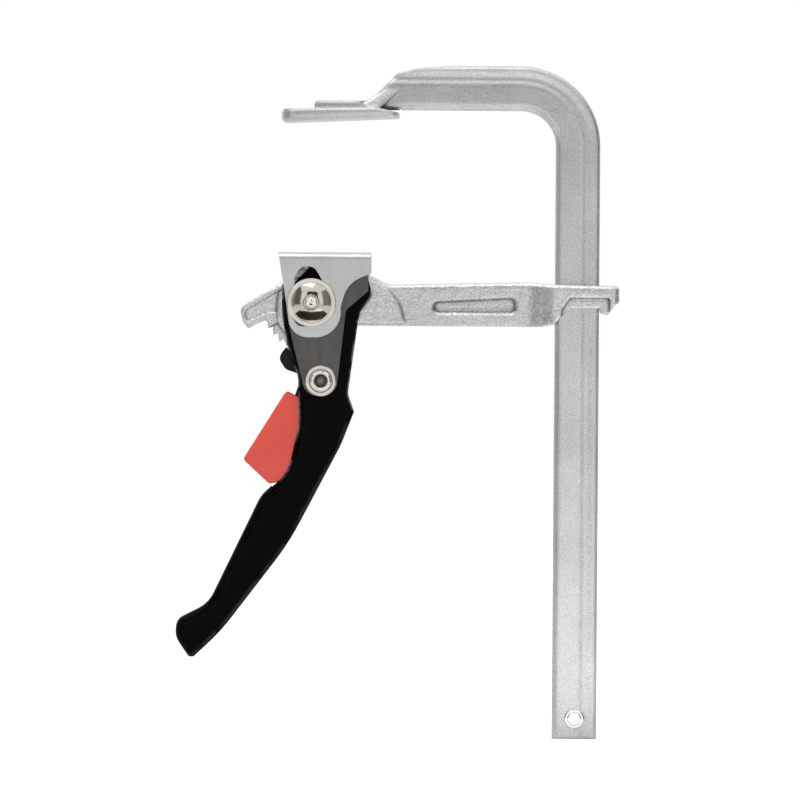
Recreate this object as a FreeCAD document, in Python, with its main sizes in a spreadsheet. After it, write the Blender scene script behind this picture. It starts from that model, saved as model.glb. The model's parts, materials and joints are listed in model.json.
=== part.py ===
"""Quick release bar clamp: a forged bar with the fixed jaw, and an arm that slides on it.

The arm carries a cam lever with a ratchet, and the cam lifts a pressure plate. Lengths are in
millimetres. X runs from the jaws to the rail, Z runs up the rail and Y is the thickness, with the
front at -Y. The origin is the middle of the fixed jaw's face.
"""
import FreeCAD
import Part
import Sketcher

import math
import os

SIZES = {
    # Bar: rail, bend, upper arm and fixed jaw in one forging.
    "bar_length": 288.5,
    "rail_width": 19.0,
    "rail_thickness": 9.5,
    "bend_radius": 15.0,
    "throat_depth": 118.0,
    "upper_arm_rise": 4.5,
    "inner_edge_chamfer": 2.0,
    "outer_edge_chamfer": 1.2,
    "groove_depth": 0.9,
    "groove_start": 1.6,
    "groove_floor": 4.0,
    "groove_stop": 7.8,
    "groove_corner_radius": 3.0,
    "jaw_length": 50.8,
    "jaw_width": 28.0,
    "jaw_thickness": 5.1,
    "jaw_toe_in_deg": 2.5,
    "jaw_corner_radius": 6.0,
    "jaw_end_radius": 2.3,
    "jaw_bevel": 1.4,
    "jaw_edge_radius": 0.8,
    "tongue_setback": 13.8,
    "tongue_length": 19.3,
    "tongue_width": 15.0,
    "tongue_height": 3.1,
    "neck_length": 31.0,
    # Stop pin at the foot of the rail.
    "stop_pin_radius": 3.0,
    "stop_pin_height": 8.5,
    "stop_collar_radius": 4.2,
    "stop_collar_thickness": 1.1,
    "stop_pin_stand": 1.5,
    # Rest places of the sliding arm and its pivot.
    "rest_opening": 57.0,
    "pivot_reach": 104.5,
    # Sliding arm.
    "rail_clearance": 0.25,
    "beam_above": 8.6,
    "beam_below": 9.6,
    "beam_thickness": 8.0,
    "beam_crown": 1.0,
    "beam_edge_radius": 2.0,
    "hump_height": 12.1,
    "eye_width": 19.2,
    "eye_ledge_width": 13.0,
    "eye_lip_height": 5.6,
    "eye_height": 10.2,
    "eye_end_wall": 8.4,
    "eye_flare_length": 11.5,
    "pocket_depth": 2.4,
    "pocket_height": 4.2,
    "pocket_length": 34.6,
    "pocket_rim_bevel": 1.2,
    "pocket_setback": 17.0,
    "pocket_drop": 1.0,
    "horn_recess_depth": 0.5,
    "boss_thickness": 10.0,
    "boss_radius": 15.5,
    "boss_edge_bevel": 0.8,
    "ratchet_thickness": 6.0,
    "ratchet_tip_radius": 21.5,
    "tooth_depth": 2.0,
    "tooth_pitch_deg": 10.0,
    "tooth_count": 9.0,
    "tooth_rake_deg": 1.3,
    "first_valley_deg": 58.1,
    "rim_end_deg": 62.0,
    # Lever, a pressed channel.
    "lever_length": 152.0,
    "lever_sheet": 2.0,
    "lever_side_gap": 0.25,
    "palm_bend_radius": 4.0,
    "lip_bend_radius": 1.6,
    "lip_slot": 4.6,
    "knob_close": 6.0,
    "knob_flat": 1.3,
    # Cam plates on the lever's flanges.
    "cam_sheet": 2.5,
    "cam_rise": 19.0,
    "cam_lift_per_radian": 7.5,
    "cam_gap": 0.2,
    "lever_squeeze_deg": 50.0,
    "lever_open_deg": 30.0,
    # Pressure plate, a folded sheet.
    "plate_sheet": 2.5,
    "plate_side_gap": 0.3,
    "plate_bend_radius": 3.0,
    "plate_inner_radius": 0.5,
    "plate_length": 39.8,
    "plate_offset": 14.3,
    "ear_drop": 14.9,
    "slot_width": 12.0,
    "slot_offset": 1.3,
    "slot_peak": 15.4,
    # Main pin with its washers and caps.
    "pin_radius": 5.0,
    "pin_clearance": 0.08,
    "pin_neck_radius": 3.5,
    "pin_tenon_radius": 2.4,
    "washer_radius": 10.4,
    "washer_thickness": 1.1,
    "washer_gap": 0.2,
    "cap_radius": 8.9,
    "cap_height": 3.1,
    "cap_rim": 0.7,
    "cap_boss_radius": 3.4,
    # Pawl, its rivet and the release trigger.
    "rivet_offset": 4.2,
    "rivet_drop": 33.5,
    "rivet_radius": 3.6,
    "rivet_bore_radius": 2.7,
    "rivet_bore_depth": 3.0,
    "rivet_rim_radius": 4.4,
    "rivet_rim_height": 1.5,
    "rivet_washer_radius": 6.6,
    "rivet_washer_ring": 1.5,
    "rivet_washer_thickness": 1.3,
    "rivet_washer_floor": 0.7,
    "pawl_thickness": 5.0,
    "pawl_hub_radius": 6.2,
    "pawl_side_gap": 0.25,
    "pawl_clearance": 0.08,
    "nose_deg": 29.4,
    "nose_radius": 0.4,
    "tip_clearance": 0.15,
    "trigger_width": 9.8,
    "trigger_edge_bevel": 0.9,
    "trigger_fit": 0.1,
    "trigger_pin_radius": 1.5,
    "trigger_pin_seat": 1.2,
    "spacer_radius": 4.9,
    "spring_wire_radius": 0.35,
    "spring_gap": 0.2,
    "spring_start_deg": 180.0,
    "spring_sweep_deg": 522.5,
    "spring_leg": 16.0,
    # Cuts run past the faces by this much.
    "overrun": 5.0,
}

doc = FreeCAD.newDocument("bar_clamp")
sheet = doc.addObject("Spreadsheet::Sheet", "Sizes")
for row, (alias, value) in enumerate(SIZES.items(), start=1):
    sheet.set(f"A{row}", alias)
    sheet.set(f"B{row}", str(value))
    sheet.setAlias(f"B{row}", alias)
doc.recompute()


def size(alias):
    return float(sheet.get(alias))


def bind(feature, field, alias_sum):
    """Tie a size of a feature to the sheet; alias_sum is a sum of aliases, written with spaces."""
    words = alias_sum.split()
    text = " ".join("Sizes." + word if word in SIZES else word for word in words)
    feature.setExpression(field, text)


# Outlines

def unit(start, stop):
    run = stop.sub(start)
    run.normalize()
    return run


def rounded(corners, closed=True):
    """Lines and tangent arcs through corners, each given as x, y and its corner radius."""
    spots = [FreeCAD.Vector(x, y, 0) for x, y, radius in corners]
    count = len(spots)
    ends = []
    for i, (x, y, radius) in enumerate(corners):
        open_end = not closed and i in (0, count - 1)
        if open_end or radius == 0:
            ends.append((spots[i], None, spots[i]))
            continue
        back = unit(spots[i], spots[i - 1])
        ahead = unit(spots[i], spots[(i + 1) % count])
        half = back.getAngle(ahead) / 2
        reach = radius / math.tan(half)
        middle = back.add(ahead)
        middle.normalize()
        crown = spots[i].add(middle.multiply(radius / math.sin(half) - radius))
        ends.append((spots[i].add(back.multiply(reach)), crown, spots[i].add(ahead.multiply(reach))))
    shapes = []
    for i, (start, crown, stop) in enumerate(ends):
        if crown is not None:
            shapes.append(Part.Arc(start, crown, stop))
        if not closed and i == count - 1:
            break
        next_start = ends[(i + 1) % count][0]
        if stop.distanceToPoint(next_start) > Part.Precision.confusion():
            shapes.append(Part.LineSegment(stop, next_start))
    return shapes


def inset(corners, distance, closed=False):
    """The corners moved to the left of their run by distance, with radii that keep the wall even."""
    count = len(corners)
    inner = []
    for i, (x, y, radius) in enumerate(corners):
        spot = FreeCAD.Vector(x, y, 0)
        runs = []
        if closed or i > 0:
            runs.append(unit(FreeCAD.Vector(*corners[i - 1][:2], 0), spot))
        if closed or i < count - 1:
            runs.append(unit(spot, FreeCAD.Vector(*corners[(i + 1) % count][:2], 0)))
        lefts = [FreeCAD.Vector(-run.y, run.x, 0) for run in runs]
        middle = lefts[0].add(lefts[-1])
        middle.normalize()
        spot = spot.add(middle.multiply(distance / middle.dot(lefts[0])))
        turn_left = runs[0].cross(runs[-1]).z > 0
        if radius > 0:
            radius = radius - distance if turn_left else radius + distance
        inner.append((spot.x, spot.y, max(radius, 0)))
    return inner


def mirrored(points):
    """The points, then the same ones on the other side of the X axis in reverse order."""
    return points + [(x, -y, radius) for x, y, radius in reversed(points)]


def scaled(shares, length, height=None):
    """Corners from shares: x and radius are shares of length, y is one of height or else of length."""
    tall = length if height is None else height
    return [(x * length, y * tall, radius * length) for x, y, radius in shares]


def moved(corners, right, up):
    return [(x + right, y + up, radius) for x, y, radius in corners]


def polar(radius, degrees):
    """A place at radius from the pivot, degrees from straight down towards -X."""
    angle = math.radians(degrees)
    return -radius * math.sin(angle), -radius * math.cos(angle)


def rectangle(low_x, high_x, half_y, radius=0.0):
    low = [(low_x, -half_y, radius), (high_x, -half_y, radius)]
    return low + [(high_x, half_y, radius), (low_x, half_y, radius)]


# Features

def new_body(name, x=0.0, z=0.0):
    body = doc.addObject("PartDesign::Body", name)
    body.Label = name
    body.Placement.Base = FreeCAD.Vector(x, 0, z)
    return body


def new_sketch(body, name, role, shapes, offset=0.0):
    sketch = body.newObject("Sketcher::SketchObject", name)
    plane = next(item for item in body.Origin.OriginFeatures if item.Role == role)
    sketch.AttachmentSupport = [(plane, "")]
    sketch.MapMode = "FlatFace"
    sketch.AttachmentOffset = FreeCAD.Placement(FreeCAD.Vector(0, 0, offset), FreeCAD.Rotation())
    sketch.addGeometry(shapes, False)
    return sketch


def add_circle(sketch, x, y, radius_sum):
    """A circle whose centre is fixed and whose radius follows the sheet."""
    number = sketch.addGeometry(Part.Circle(FreeCAD.Vector(x, y, 0), FreeCAD.Vector(0, 0, 1), 1), False)
    sketch.addConstraint(Sketcher.Constraint("Radius", number, 1))
    bind(sketch, f"Constraints[{sketch.ConstraintCount - 1}]", radius_sum)
    return number


def pad(body, sketch, length_sum):
    feature = body.newObject("PartDesign::Pad", sketch.Name + "_pad")
    feature.Profile = sketch
    feature.Midplane = True
    bind(feature, "Length", length_sum)
    return feature


def pocket(body, sketch, length_sum):
    feature = body.newObject("PartDesign::Pocket", sketch.Name + "_cut")
    feature.Profile = sketch
    feature.Midplane = True
    bind(feature, "Length", length_sum)
    return feature


def turn(body, name, profile):
    """A body turned about its Y axis from a profile of radius and height pairs."""
    sketch = new_sketch(body, name + "_profile", "XY_Plane", rounded(profile))
    feature = body.newObject("PartDesign::Revolution", name + "_turn")
    feature.Profile = sketch
    feature.ReferenceAxis = (sketch, ["V_Axis"])
    feature.Angle = 360
    return feature


def edge_names(base, chosen):
    doc.recompute()
    return [f"Edge{i}" for i, edge in enumerate(base.Shape.Edges, start=1) if chosen(edge)]


def fillet(body, base, name, radius_sum, chosen):
    """Round the edges of base for which chosen is true."""
    names = edge_names(base, chosen)
    feature = body.newObject("PartDesign::Fillet", name)
    feature.Base = (base, names)
    bind(feature, "Radius", radius_sum)
    return feature


def chamfer(body, base, name, size_sum, chosen):
    """Bevel the edges of base for which chosen is true."""
    names = edge_names(base, chosen)
    feature = body.newObject("PartDesign::Chamfer", name)
    feature.Base = (base, names)
    bind(feature, "Size", size_sum)
    return feature


def near(value, target):
    return abs(value - target) < 1e-4


def flat_at(edge, axis, level):
    """Whether the whole edge lies at a level along an axis, 0 for X, 1 for Y and 2 for Z."""
    low = (edge.BoundBox.XMin, edge.BoundBox.YMin, edge.BoundBox.ZMin)[axis]
    high = (edge.BoundBox.XMax, edge.BoundBox.YMax, edge.BoundBox.ZMax)[axis]
    return near(low, level) and near(high, level)


# Places that several pieces share

overrun = size("overrun")
rail_inner_x = size("throat_depth") - size("jaw_length") / 2
rail_middle_x = rail_inner_x + size("rail_width") / 2
rail_foot_z = size("upper_arm_rise") + size("rail_width") - size("bar_length")
stop_pin_z = rail_foot_z + size("stop_pin_height")
pivot_x = rail_inner_x - size("pivot_reach")
web_under = size("cam_rise") + size("cam_gap")
pivot_z = -size("rest_opening") - size("plate_sheet") - web_under
rivet_x = pivot_x + size("rivet_offset")
rivet_z = pivot_z - size("rivet_drop")
flange_inner = size("boss_thickness") / 2 + size("lever_side_gap")
flange_outer = flange_inner + size("lever_sheet")
cam_outer = flange_outer + size("cam_sheet")
ear_inner = cam_outer + size("plate_side_gap")
ear_outer = ear_inner + size("plate_sheet")
plate_rise = size("cam_lift_per_radian") * math.radians(size("lever_squeeze_deg"))
washer_inner = ear_outer + size("washer_gap")
cap_inner = washer_inner + size("washer_thickness")
toe_in = math.tan(math.radians(size("jaw_toe_in_deg")))

# Widths over the lever's flanges and over the plate's ears, as the features take them.
LEVER_WIDTH_SUM = "boss_thickness + 2 * lever_sheet + 2 * lever_side_gap"
PLATE_WIDTH_SUM = LEVER_WIDTH_SUM + " + 2 * cam_sheet + 2 * plate_side_gap + 2 * plate_sheet"

# Depth of a cut that runs through the arm from top to bottom.
ARM_DEPTH_SUM = "3 * boss_radius"

# Arcs that make up the cam, and that make up one turn of the spring.
CAM_ARC_COUNT = 4
TURN_ARC_COUNT = 4

# Flat sides of the spring's wire, which keep its facets few.
WIRE_SIDE_COUNT = 8


# Outlines drawn by hand: x, z and corner radius as shares of one size of the piece.

# Neck, from the tongue's end: x of neck_length, z of the drop from the arm's top to the tongue.
NECK_SHARES = [(0.16, 0.0, 0.29), (0.545, 0.80, 0.10), (0.80, 0.93, 1.0), (1.25, 1.0, 0.0)]

# Where the flare from the tongue meets the arm, of neck_length.
FLARE_START_SHARE = 0.4
FLARE_STOP_SHARE = 0.6

# Horn at the arm's free end, from the pivot, of boss_radius.
HORN_SHARES = [
    (-0.45, 0.76, 0.30),
    (-0.82, 0.58, 0.0),
    (-1.72, 0.02, 0.14),
    (-1.98, -0.17, 0.20),
    (-1.90, -0.55, 0.20),
    (-1.76, -0.72, 0.06),
    (-1.22, -0.44, 0.10),
    (-1.20, -0.70, 0.0),
]

# Shallow recess in both sides of the horn, which leaves a ridge along its upper edge, of boss_radius.
HORN_RECESS_SHARES = [
    (-0.60, 0.52, 0.0),
    (-1.66, -0.10, 0.10),
    (-1.86, -0.26, 0.10),
    (-1.80, -0.53, 0.06),
    (-1.22, -0.26, 0.10),
    (-0.60, -0.26, 0.0),
]

# Hump over the boss, from the beam to the horn: x of boss_radius, z of hump_height.
HUMP_SHARES = [(2.15, 0.67, 0.25), (1.62, 1.0, 0.33), (-0.30, 1.0, 0.25)]

# Raised face of the boss: x of boss_radius, z of hump_height.
BOSS_FACE_SHARES = [
    (-0.60, 0.92, 0.13),
    (1.52, 0.92, 0.13),
    (2.40, 0.36, 1.20),
    (2.60, -0.71, 0.06),
    (0.90, -0.71, 0.0),
    (0.0, -1.28, 1.0),
    (-1.0, -1.15, 0.68),
    (-0.95, 0.26, 0.25),
]

# End of the eye, from the rail window's lower outer corner, of eye_end_wall.
EYE_END_SHARES = [
    (0.0, 0.0, 0.0),
    (0.06, -0.25, 0.06),
    (0.40, -0.33, 0.06),
    (0.70, 0.12, 0.12),
    (1.0, 0.35, 0.12),
]

# Throat side of the eye's foot, from the rail window, of eye_end_wall.
EYE_HEEL_SHARE = 0.75

# Edge of the step under the eye's lip: from the window's throat side and from its far side.
STEP_START_SHARES = (0.2, 0.4, 0.8)
STEP_STOP_SHARE = 0.5

# Beam pocket from its middle: x of half its length, z and radius of half its height.
POCKET_SHARES = [(-1.0, -1.16, 0.84), (1.0, -1.16, 0.92), (1.0, 1.71, 1.0), (-1.0, 0.81, 0.76)]

# Lever from the pivot, of lever_length: down the palm side, round the knob and up the rail side.
PALM_SHARES = [
    (-0.0125, 0.0934, 0.0),
    (-0.046, 0.0566, 0.0),
    (-0.088, 0.053, 0.0),
    (-0.087, -0.033, 0.12),
    (-0.070, -0.125, 0.20),
    (-0.040, -0.210, 0.10),
    (-0.037, -0.345, 0.10),
    (-0.067, -0.480, 0.10),
    (-0.110, -0.517, 0.0),
    (-0.140, -0.545, 0.10),
    (-0.286, -0.850, 0.10),
    (-0.375, -0.895, 0.035),
    (-0.380, -0.945, 0.06),
    (-0.335, -1.010, 0.0),
]
RAIL_SIDE_SHARES = [
    (-0.250, -0.930, 0.60),
    (-0.060, -0.680, 0.80),
    (0.086, -0.400, 0.30),
    (0.122, -0.307, 0.0),
    (0.104, -0.255, 0.04),
    (0.134, -0.030, 0.06),
    (0.170, 0.020, 0.012),
    (0.165, 0.047, 0.0),
]

# Corners of the palm side above the channel's web, and corners of the other side along its lips.
PALM_OPEN_COUNT = 8
RAIL_LIP_COUNT = 4

# Cam plate below the cam, from the pivot, of cam_rise: down its back, round the rivet, up its front.
CAM_BACK_SHARES = [
    (-0.10, 0.745, 0.0),
    (-0.29, 0.57, 0.2),
    (-0.37, 0.45, 0.1),
    (-0.57, 0.10, 0.20),
    (-0.57, -0.20, 0.30),
    (-0.40, -0.97, 0.30),
]
CAM_FRONT_SHARES = [(0.69, -0.97, 0.30), (0.78, -0.16, 0.16), (1.28, 0.27, 0.10)]

# Pressure plate's ear from the pivot, of ear_drop: up the front, and down the back.
EAR_FRONT_SHARES = [(0.86, -1.0, 0.74), (0.845, -0.10, 0.60), (1.04, 0.57, 0.85), (1.71, 0.86, 0.15)]
EAR_BACK_SHARES = [(-0.84, 0.70, 0.80), (-0.66, -0.42, 0.80), (-0.625, -1.0, 0.56)]

# Head of the ear's slot from its middle: x and radius of half its width.
SLOT_HEAD_SHARES = [(1.0, -1.0, 0.33), (0.4, 0.0, 0.6), (-0.6, 0.0, 0.7), (-1.0, -0.8, 0.5)]
SLOT_FOOT_SHARE = 0.6

# Pawl from its rivet, of rivet_drop: from the nose over the back to the tail and up the ratchet side.
PAWL_SHARES = [
    (-0.500, 0.368, 0.03),
    (-0.542, 0.285, 0.10),
    (-0.455, 0.145, 0.12),
    (-0.240, 0.075, 0.10),
    (-0.330, -0.180, 0.15),
    (-0.720, -0.820, 0.06),
    (-0.560, -0.900, 0.06),
    (-0.080, -0.160, 0.10),
    (0.050, 0.150, 0.05),
    (-0.376, 0.343, 0.04),
]

# Pin through the trigger and the pawl's tail, from the rivet, of rivet_drop.
TRIGGER_PIN_SHARE_X = -0.51
TRIGGER_PIN_SHARE_Z = -0.65

# Trigger from the rivet, of rivet_drop.
TRIGGER_SHARES = [
    (-0.430, -0.130, 0.03),
    (-0.470, -0.170, 0.03),
    (-0.992, -1.010, 0.05),
    (-0.655, -1.322, 0.06),
    (-0.560, -1.310, 0.06),
    (-0.330, -0.900, 0.20),
    (-0.190, -0.420, 0.10),
    (-0.250, -0.220, 0.04),
]


# Fixed bar

def make_fixed_bar():
    body = new_body("fixed_bar")
    half_width = size("rail_width") / 2
    half_thick = size("rail_thickness") / 2
    arm_z = size("upper_arm_rise") + half_width
    arm_top = arm_z + half_width
    jaw_half = size("jaw_length") / 2
    thick = size("jaw_thickness")
    edge = size("jaw_edge_radius")
    tongue_top = thick + size("tongue_height")
    tongue_start_x = -jaw_half + size("tongue_setback")
    tongue_stop_x = tongue_start_x + size("tongue_length")
    neck_length = size("neck_length")

    inner = size("inner_edge_chamfer")
    outer = size("outer_edge_chamfer")
    groove_y = half_thick - size("groove_depth")
    soft = size("groove_corner_radius")
    section = mirrored([
        (rail_middle_x - half_width, half_thick - inner, 0),
        (rail_middle_x - half_width + inner, half_thick, 0),
        (rail_middle_x + size("groove_start"), half_thick, soft),
        (rail_middle_x + size("groove_floor"), groove_y, soft),
        (rail_middle_x + size("groove_stop"), half_thick, soft),
        (rail_middle_x + half_width - outer, half_thick, 0),
        (rail_middle_x + half_width, half_thick - outer, 0),
    ])
    profile = new_sketch(body, "bar_section", "XY_Plane", rounded(section), rail_foot_z)
    route = [
        (rail_middle_x, rail_foot_z, 0),
        (rail_middle_x, arm_z, size("bend_radius") + half_width),
        (tongue_stop_x, arm_z, 0),
    ]
    path = new_sketch(body, "bar_path", "XZ_Plane", rounded(route, closed=False))
    pipe = body.newObject("PartDesign::AdditivePipe", "bar_sweep")
    pipe.Profile = profile
    pipe.Spine = (path, [])

    # The arm's end is drawn down in a long curve to the tongue on the jaw.
    drop = arm_top - tongue_top
    curve = [(tongue_stop_x - overrun, tongue_top, 0)]
    curve += moved(scaled(NECK_SHARES, neck_length, drop), tongue_stop_x, tongue_top)
    curve.append((tongue_stop_x + neck_length, arm_top + overrun, 0))
    curve.append((tongue_stop_x - overrun, arm_top + overrun, 0))
    pocket(body, new_sketch(body, "neck_curve", "XZ_Plane", rounded(curve)), "rail_thickness + overrun")

    # The jaw is a wide pad whose face leans in towards its tip.
    end_radius = size("jaw_end_radius")
    jaw = [
        (-jaw_half, -jaw_half * toe_in, end_radius),
        (jaw_half, jaw_half * toe_in, thick / 7),
        (jaw_half, jaw_half * toe_in + thick / 3, thick / 7),
        (jaw_half - 2 * thick, thick, thick),
        (-jaw_half, thick - edge, end_radius),
    ]
    pad(body, new_sketch(body, "jaw_outline", "XZ_Plane", rounded(jaw)), "jaw_width")
    half_jaw_width = size("jaw_width") / 2
    plan = rounded(rectangle(-jaw_half, jaw_half, half_jaw_width, size("jaw_corner_radius")))
    margin = rounded(rectangle(-jaw_half - overrun, jaw_half + edge, half_jaw_width + overrun))
    ring = new_sketch(body, "jaw_plan", "XY_Plane", plan + margin)
    pocket(body, ring, "2 * jaw_thickness")

    # Bevels along the face's long edges, which lean as the face does.
    bevel = size("jaw_bevel")
    wedges = []
    for sign in (-1, 1):
        wedges += rounded([
            (sign * (half_jaw_width - bevel), 0, 0),
            (sign * half_jaw_width, bevel, 0),
            (sign * (half_jaw_width + overrun), bevel, 0),
            (sign * (half_jaw_width + overrun), -overrun, 0),
            (sign * (half_jaw_width - bevel), -overrun, 0),
        ])
    bevels = new_sketch(body, "jaw_bevels", "YZ_Plane", wedges)
    lean = FreeCAD.Rotation(FreeCAD.Vector(1, 0, 0), -size("jaw_toe_in_deg"))
    bevels.AttachmentOffset = FreeCAD.Placement(FreeCAD.Vector(), lean)
    pocket(body, bevels, "jaw_length + overrun")

    # The tongue and the flare carry the narrow arm onto the wide pad.
    tongue = [
        (tongue_start_x, thick - 2 * edge, 0),
        (tongue_start_x + edge, tongue_top, 2 * edge),
        (tongue_stop_x, tongue_top, 0),
        (tongue_stop_x + thick, thick - 2 * edge, 0),
    ]
    pad(body, new_sketch(body, "tongue_outline", "XZ_Plane", rounded(tongue)), "tongue_width")
    foot_stop_x = tongue_stop_x + thick + size("tongue_height")
    lower = rectangle(tongue_stop_x - size("tongue_height"), foot_stop_x, size("tongue_width") / 2)
    flare_start_x = tongue_stop_x + FLARE_START_SHARE * neck_length
    flare_stop_x = tongue_stop_x + FLARE_STOP_SHARE * neck_length
    upper = rectangle(flare_start_x, flare_stop_x, half_thick)
    foot = new_sketch(body, "flare_foot", "XY_Plane", rounded(lower), thick - edge)
    top = new_sketch(body, "flare_top", "XY_Plane", rounded(upper), arm_z)
    loft = body.newObject("PartDesign::AdditiveLoft", "flare_loft")
    loft.Profile = foot
    loft.Sections = [top]
    loft.Ruled = True

    hole = new_sketch(body, "stop_pin_hole", "XZ_Plane", [])
    add_circle(hole, rail_middle_x, stop_pin_z, "stop_pin_radius")
    pocket(body, hole, "rail_thickness + overrun")


def make_stop_pin():
    body = new_body("stop_pin", rail_middle_x, stop_pin_z)
    face = size("rail_thickness") / 2
    shank = size("stop_pin_radius")
    collar = size("stop_collar_radius")
    top = face + size("stop_pin_stand")
    rim = face + size("stop_collar_thickness")
    bevel = (collar - shank) / 3
    turn(body, "stop_pin", mirror_heights([
        (0, top, 0),
        (shank - bevel, top, 0),
        (shank, top - bevel, 0),
        (shank, rim, 0),
        (collar - bevel, rim, 0),
        (collar, rim - bevel, 0),
        (collar, face, 0),
        (shank, face, 0),
    ]))


# Sliding arm

def make_sliding_arm():
    body = new_body("sliding_arm", pivot_x, pivot_z)
    reach = size("pivot_reach")
    gap = size("rail_clearance")
    above = size("beam_above")
    below = size("beam_below")
    window_start = reach - gap
    window_stop = reach + size("rail_width") + gap
    eye_stop = window_stop + size("eye_end_wall")
    eye_low = above - size("eye_height")
    lip_low = above - size("eye_lip_height")
    hump = size("hump_height")
    boss = size("boss_radius")
    crown = size("beam_crown")
    flare = size("eye_flare_length")
    wall = size("eye_end_wall")

    # Side outline, from the horn over the top to the eye and back under the beam.
    side = scaled(HORN_SHARES, boss)
    rim_end = -size("rim_end_deg")
    rim_x, rim_z = polar(size("ratchet_tip_radius"), rim_end)
    side += [
        (0, 0, 0),
        (rim_x, rim_z, 0),
        (rim_x + boss / 8, -below, boss / 8),
        (window_start - flare / 2, -below, flare),
        (window_start, -below + crown, crown / 2),
        (window_start + EYE_HEEL_SHARE * wall, eye_low, wall / 8),
    ]
    side += moved(scaled(EYE_END_SHARES, wall), window_stop, eye_low)
    side += [
        (eye_stop, above - crown / 2, 0),
        (window_start, above, flare / 2),
        (window_start - flare, above + crown, 2 * flare),
    ]
    side += scaled(HUMP_SHARES, boss, hump)
    pad(body, new_sketch(body, "arm_side", "XZ_Plane", rounded(side)), "eye_width")

    # Plan outline: slim beam, flared eye. What lies outside it is cut away.
    half_beam = size("beam_thickness") / 2
    half_eye = size("eye_width") / 2
    plan = mirrored([
        (-2 * boss - overrun, half_beam, 0),
        (window_start - flare, half_beam, flare),
        (window_start, half_eye, flare / 2),
        (eye_stop, half_eye, wall / 3),
    ])
    margin = rectangle(-2 * boss - 2 * overrun, eye_stop + overrun, half_eye + overrun)
    ring = new_sketch(body, "arm_plan", "XY_Plane", rounded(plan) + rounded(margin))
    trimmed = pocket(body, ring, ARM_DEPTH_SUM)

    # The beam's long edges are rounded, as on a forging.
    def on_beam_edge(item):
        low = item.BoundBox.XMin > 2 * boss
        stops = item.BoundBox.XMax < window_start - flare / 2
        flat = any(flat_at(item, 1, y) for y in (-half_beam, half_beam))
        return low and stops and flat and item.BoundBox.XLength > flare
    beam = fillet(body, trimmed, "beam_rounding", "beam_edge_radius", on_beam_edge)

    recess = scaled(HORN_RECESS_SHARES, boss)
    depth = size("horn_recess_depth")
    for sign, side_name in ((-1, "front"), (1, "rear")):
        offset = -sign * (half_beam - depth / 2)
        sketch = new_sketch(body, f"horn_recess_{side_name}", "XZ_Plane", rounded(recess), offset)
        pocket(body, sketch, "horn_recess_depth")

    # Pockets with a sloping rim leave a thin web along the beam. The boss is raised after them, so that
    # it closes what it covers of them on a short beam.
    tall = size("pocket_height") / 2
    long_half = size("pocket_length") / 2
    mid_x = window_start - size("pocket_setback") - long_half
    mid_z = -size("pocket_drop")
    hollow = [(mid_x + x * long_half, mid_z + z * tall, radius * tall) for x, z, radius in POCKET_SHARES]
    for sign, side_name in ((-1, "front"), (1, "rear")):
        offset = -sign * (half_beam - size("pocket_depth") / 2)
        sketch = new_sketch(body, f"beam_pocket_{side_name}", "XZ_Plane", rounded(hollow), offset)
        cut = pocket(body, sketch, "pocket_depth")

        def on_rim(item, level=sign * half_beam):
            inside = item.BoundBox.XMin > mid_x - long_half - overrun
            return flat_at(item, 1, level) and inside and item.BoundBox.XMax < mid_x + long_half + overrun
        chamfer(body, cut, f"beam_pocket_rim_{side_name}", "pocket_rim_bevel", on_rim)

    # Boss faces, raised on both sides, with a hollow edge towards the beam.
    face = scaled(BOSS_FACE_SHARES, boss, hump)
    raised = pad(body, new_sketch(body, "boss_face", "XZ_Plane", rounded(face)), "boss_thickness")

    def on_boss_edge(item):
        levels = (-size("boss_thickness") / 2, size("boss_thickness") / 2)
        return any(flat_at(item, 1, y) for y in levels) and item.BoundBox.XMax < 3 * boss
    chamfer(body, raised, "boss_bevel", "boss_edge_bevel", on_boss_edge)

    # Ratchet: a sector whose rim is cut into saw teeth by one gap and its pattern.
    tip = size("ratchet_tip_radius")
    root = tip - size("tooth_depth")
    pitch = size("tooth_pitch_deg")
    rake = size("tooth_rake_deg")
    first = size("first_valley_deg")
    last = first - pitch * (size("tooth_count") - 1)
    start = FreeCAD.Vector(*polar(tip, first + rake), 0)
    stop = FreeCAD.Vector(rim_x, rim_z, 0)
    middle = FreeCAD.Vector(*polar(tip, (first + rake + rim_end) / 2), 0)
    centre = FreeCAD.Vector(0, 0, 0)
    sector = [Part.Arc(start, middle, stop), Part.LineSegment(stop, centre), Part.LineSegment(centre, start)]
    pad(body, new_sketch(body, "ratchet_sector", "XZ_Plane", sector), "ratchet_thickness")
    past = tip + size("tooth_depth")
    gap_corners = [
        (*polar(root, last), 0),
        (*polar(tip, last + rake), 0),
        (*polar(past, last + rake), 0),
        (*polar(past, last - pitch + rake), 0),
        (*polar(tip, last - pitch + rake), 0),
    ]
    gap_sketch = new_sketch(body, "tooth_gap", "XZ_Plane", rounded(gap_corners))
    tooth_gap = pocket(body, gap_sketch, "ratchet_thickness")
    pattern = body.newObject("PartDesign::PolarPattern", "tooth_gaps")
    pattern.Originals = [tooth_gap]
    y_axis = next(item for item in body.Origin.OriginFeatures if item.Role == "Y_Axis")
    pattern.Axis = (y_axis, [""])
    pattern.Occurrences = int(size("tooth_count"))
    pattern.Angle = pitch * (size("tooth_count") - 1)
    body.Tip = pattern

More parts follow.
